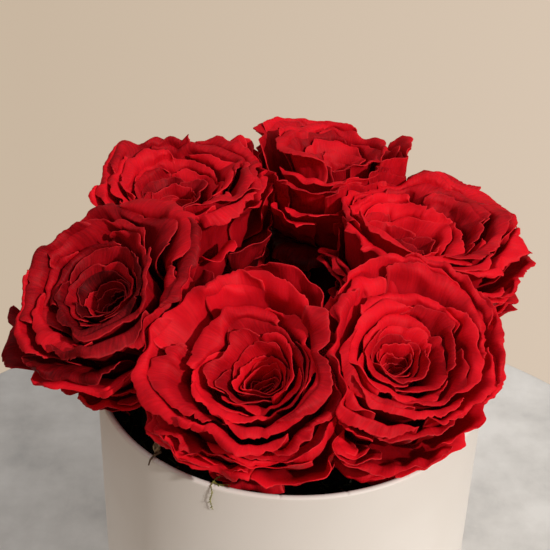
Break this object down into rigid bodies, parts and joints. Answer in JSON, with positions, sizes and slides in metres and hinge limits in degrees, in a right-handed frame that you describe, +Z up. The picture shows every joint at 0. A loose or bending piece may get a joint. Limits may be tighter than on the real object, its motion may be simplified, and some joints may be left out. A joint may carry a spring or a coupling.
{
  "type": "flower box",
  "caption": "Round paper-covered box that holds a ring of large open preserved roses in dry foam under moss; each rose lifts out on its stem.",
  "frame": {"origin": "centre of the base face, on the surface the box stands on", "axes": "+Z up out of the box, -Y towards the front, +X to the right seen from the front"},
  "size_m": [0.1937, 0.1817, 0.2077],
  "materials": {
    "greyboard": "raw greyboard",
    "cover_paper": "smooth satin cream paper",
    "lining_paper": "matt dark paper",
    "dry_foam": "matt open-cell dry floral foam",
    "moss": "matt fibrous preserved moss",
    "moss_strand": "matt dry fibre",
    "twig": "matt dry bark",
    "petals_red": "velvet-matt preserved petal",
    "calyx_green": "matt preserved leaf",
    "stem_green": "matt preserved stem"
  },
  "bodies": {
    "box": {"box_tube": "greyboard", "box_wrap": "cover_paper", "base_board": "greyboard", "base_paper": "cover_paper", "lining_paper": "lining_paper", "lining_floor": "lining_paper", "foam_block": "dry_foam", "moss_bed": "moss", "moss_strand": "moss_strand", "moss_twig": "twig"},
    "rose_front_left": {"rose_front_left_heart": "petals_red", "rose_front_left_inner_petals": "petals_red", "rose_front_left_middle_petals": "petals_red", "rose_front_left_outer_petals": "petals_red", "rose_front_left_calyx": "calyx_green", "rose_front_left_stem": "stem_green"},
    "rose_front_right": {"rose_front_right_heart": "petals_red", "rose_front_right_inner_petals": "petals_red", "rose_front_right_middle_petals": "petals_red", "rose_front_right_outer_petals": "petals_red", "rose_front_right_calyx": "calyx_green", "rose_front_right_stem": "stem_green"},
    "rose_right": {"rose_right_heart": "petals_red", "rose_right_inner_petals": "petals_red", "rose_right_middle_petals": "petals_red", "rose_right_outer_petals": "petals_red", "rose_right_calyx": "calyx_green", "rose_right_stem": "stem_green"},
    "rose_back_middle": {"rose_back_middle_heart": "petals_red", "rose_back_middle_inner_petals": "petals_red", "rose_back_middle_middle_petals": "petals_red", "rose_back_middle_outer_petals": "petals_red", "rose_back_middle_calyx": "calyx_green", "rose_back_middle_stem": "stem_green"},
    "rose_back_left": {"rose_back_left_heart": "petals_red", "rose_back_left_inner_petals": "petals_red", "rose_back_left_middle_petals": "petals_red", "rose_back_left_outer_petals": "petals_red", "rose_back_left_calyx": "calyx_green", "rose_back_left_stem": "stem_green"},
    "rose_left": {"rose_left_heart": "petals_red", "rose_left_inner_petals": "petals_red", "rose_left_middle_petals": "petals_red", "rose_left_outer_petals": "petals_red", "rose_left_calyx": "calyx_green", "rose_left_stem": "stem_green"}
  },
  "joints": [
    {"name": "rose_front_left_pull", "type": "slide", "parent": "box", "child": "rose_front_left", "axis": [0, 0, 1], "range_m": [0, 0.075]},
    {"name": "rose_front_right_pull", "type": "slide", "parent": "box", "child": "rose_front_right", "axis": [0, 0, 1], "range_m": [0, 0.075]},
    {"name": "rose_right_pull", "type": "slide", "parent": "box", "child": "rose_right", "axis": [0, 0, 1], "range_m": [0, 0.075]},
    {"name": "rose_back_middle_pull", "type": "slide", "parent": "box", "child": "rose_back_middle", "axis": [0, 0, 1], "range_m": [0, 0.075]},
    {"name": "rose_back_left_pull", "type": "slide", "parent": "box", "child": "rose_back_left", "axis": [0, 0, 1], "range_m": [0, 0.075]},
    {"name": "rose_left_pull", "type": "slide", "parent": "box", "child": "rose_left", "axis": [0, 0, 1], "range_m": [0, 0.075]}
  ]
}
